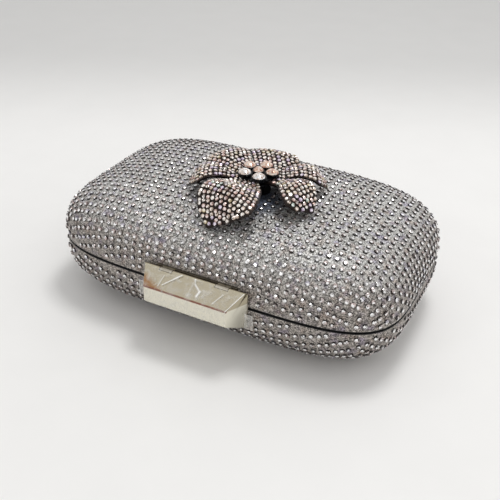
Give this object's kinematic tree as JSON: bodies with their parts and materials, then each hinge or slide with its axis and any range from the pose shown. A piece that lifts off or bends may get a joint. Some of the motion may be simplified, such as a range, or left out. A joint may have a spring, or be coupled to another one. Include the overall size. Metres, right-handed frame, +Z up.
{
  "type": "clutch bag",
  "caption": "Rounded hard-shell evening clutch that opens on back hinges, with a bevelled bar clasp on the front and a jewelled flower on the lid.",
  "frame": {"origin": "middle of the flat area of the underside that the closed bag lies on", "axes": "+X along the length, +Z up through the lid, the clasp at -Y and the hinges at +Y"},
  "size_m": [0.2, 0.1379, 0.0815],
  "materials": {
    "glitter_cloth": "silver-grey glitter cloth set with small round stones",
    "moulded_shell": "matte moulded board",
    "satin_lining": "grey satin",
    "frame_metal": "polished pale plating",
    "hinge_metal": "satin plating",
    "clasp_metal": "mirror polished pale plating",
    "steel": "brushed",
    "fixing_metal": "black plated",
    "black_setting": "black plated",
    "petal_pave": "black metal paved with pink and champagne stones",
    "peach_crystal": "cut and foiled"
  },
  "bodies": {
    "tray": {"lower_skin": "glitter_cloth", "lower_shell": "moulded_shell", "lower_lining": "satin_lining", "lower_frame": "frame_metal", "hinge_leaf_lower_left": "hinge_metal", "hinge_leaf_lower_right": "hinge_metal", "hinge_pin_left": "hinge_metal", "hinge_pin_right": "hinge_metal", "strike_plate": "steel"},
    "lid": {"upper_skin": "glitter_cloth", "upper_shell": "moulded_shell", "upper_lining": "satin_lining", "upper_frame": "frame_metal", "hinge_leaf_upper_left": "hinge_metal", "hinge_leaf_upper_right": "hinge_metal", "clasp_bracket": "clasp_metal", "clasp_pin": "clasp_metal", "flower_post": "fixing_metal", "flower_seat": "fixing_metal", "flower_washer": "fixing_metal", "flower_nut": "fixing_metal", "cluster_setting": "black_setting", "petal_front": "petal_pave", "petal_front_right": "petal_pave", "petal_right": "petal_pave", "petal_back": "petal_pave", "petal_back_left": "petal_pave", "petal_left": "petal_pave", "stone_1": "peach_crystal", "stone_2": "peach_crystal", "stone_3": "peach_crystal", "stone_4": "peach_crystal", "stone_5": "peach_crystal", "stone_6": "peach_crystal"},
    "clasp": {"clasp_bar": "clasp_metal", "clasp_magnet": "steel"}
  },
  "joints": [
    {"name": "lid_hinge", "type": "hinge", "parent": "tray", "child": "lid", "pos_m": [0, 0.0624, 0.03245], "axis": [-1, 0, 0], "range_deg": [0, 95]},
    {"name": "clasp_flip", "type": "hinge", "parent": "lid", "child": "clasp", "pos_m": [0, -0.0629, 0.04155], "axis": [-1, 0, 0], "range_deg": [0, 80]}
  ]
}
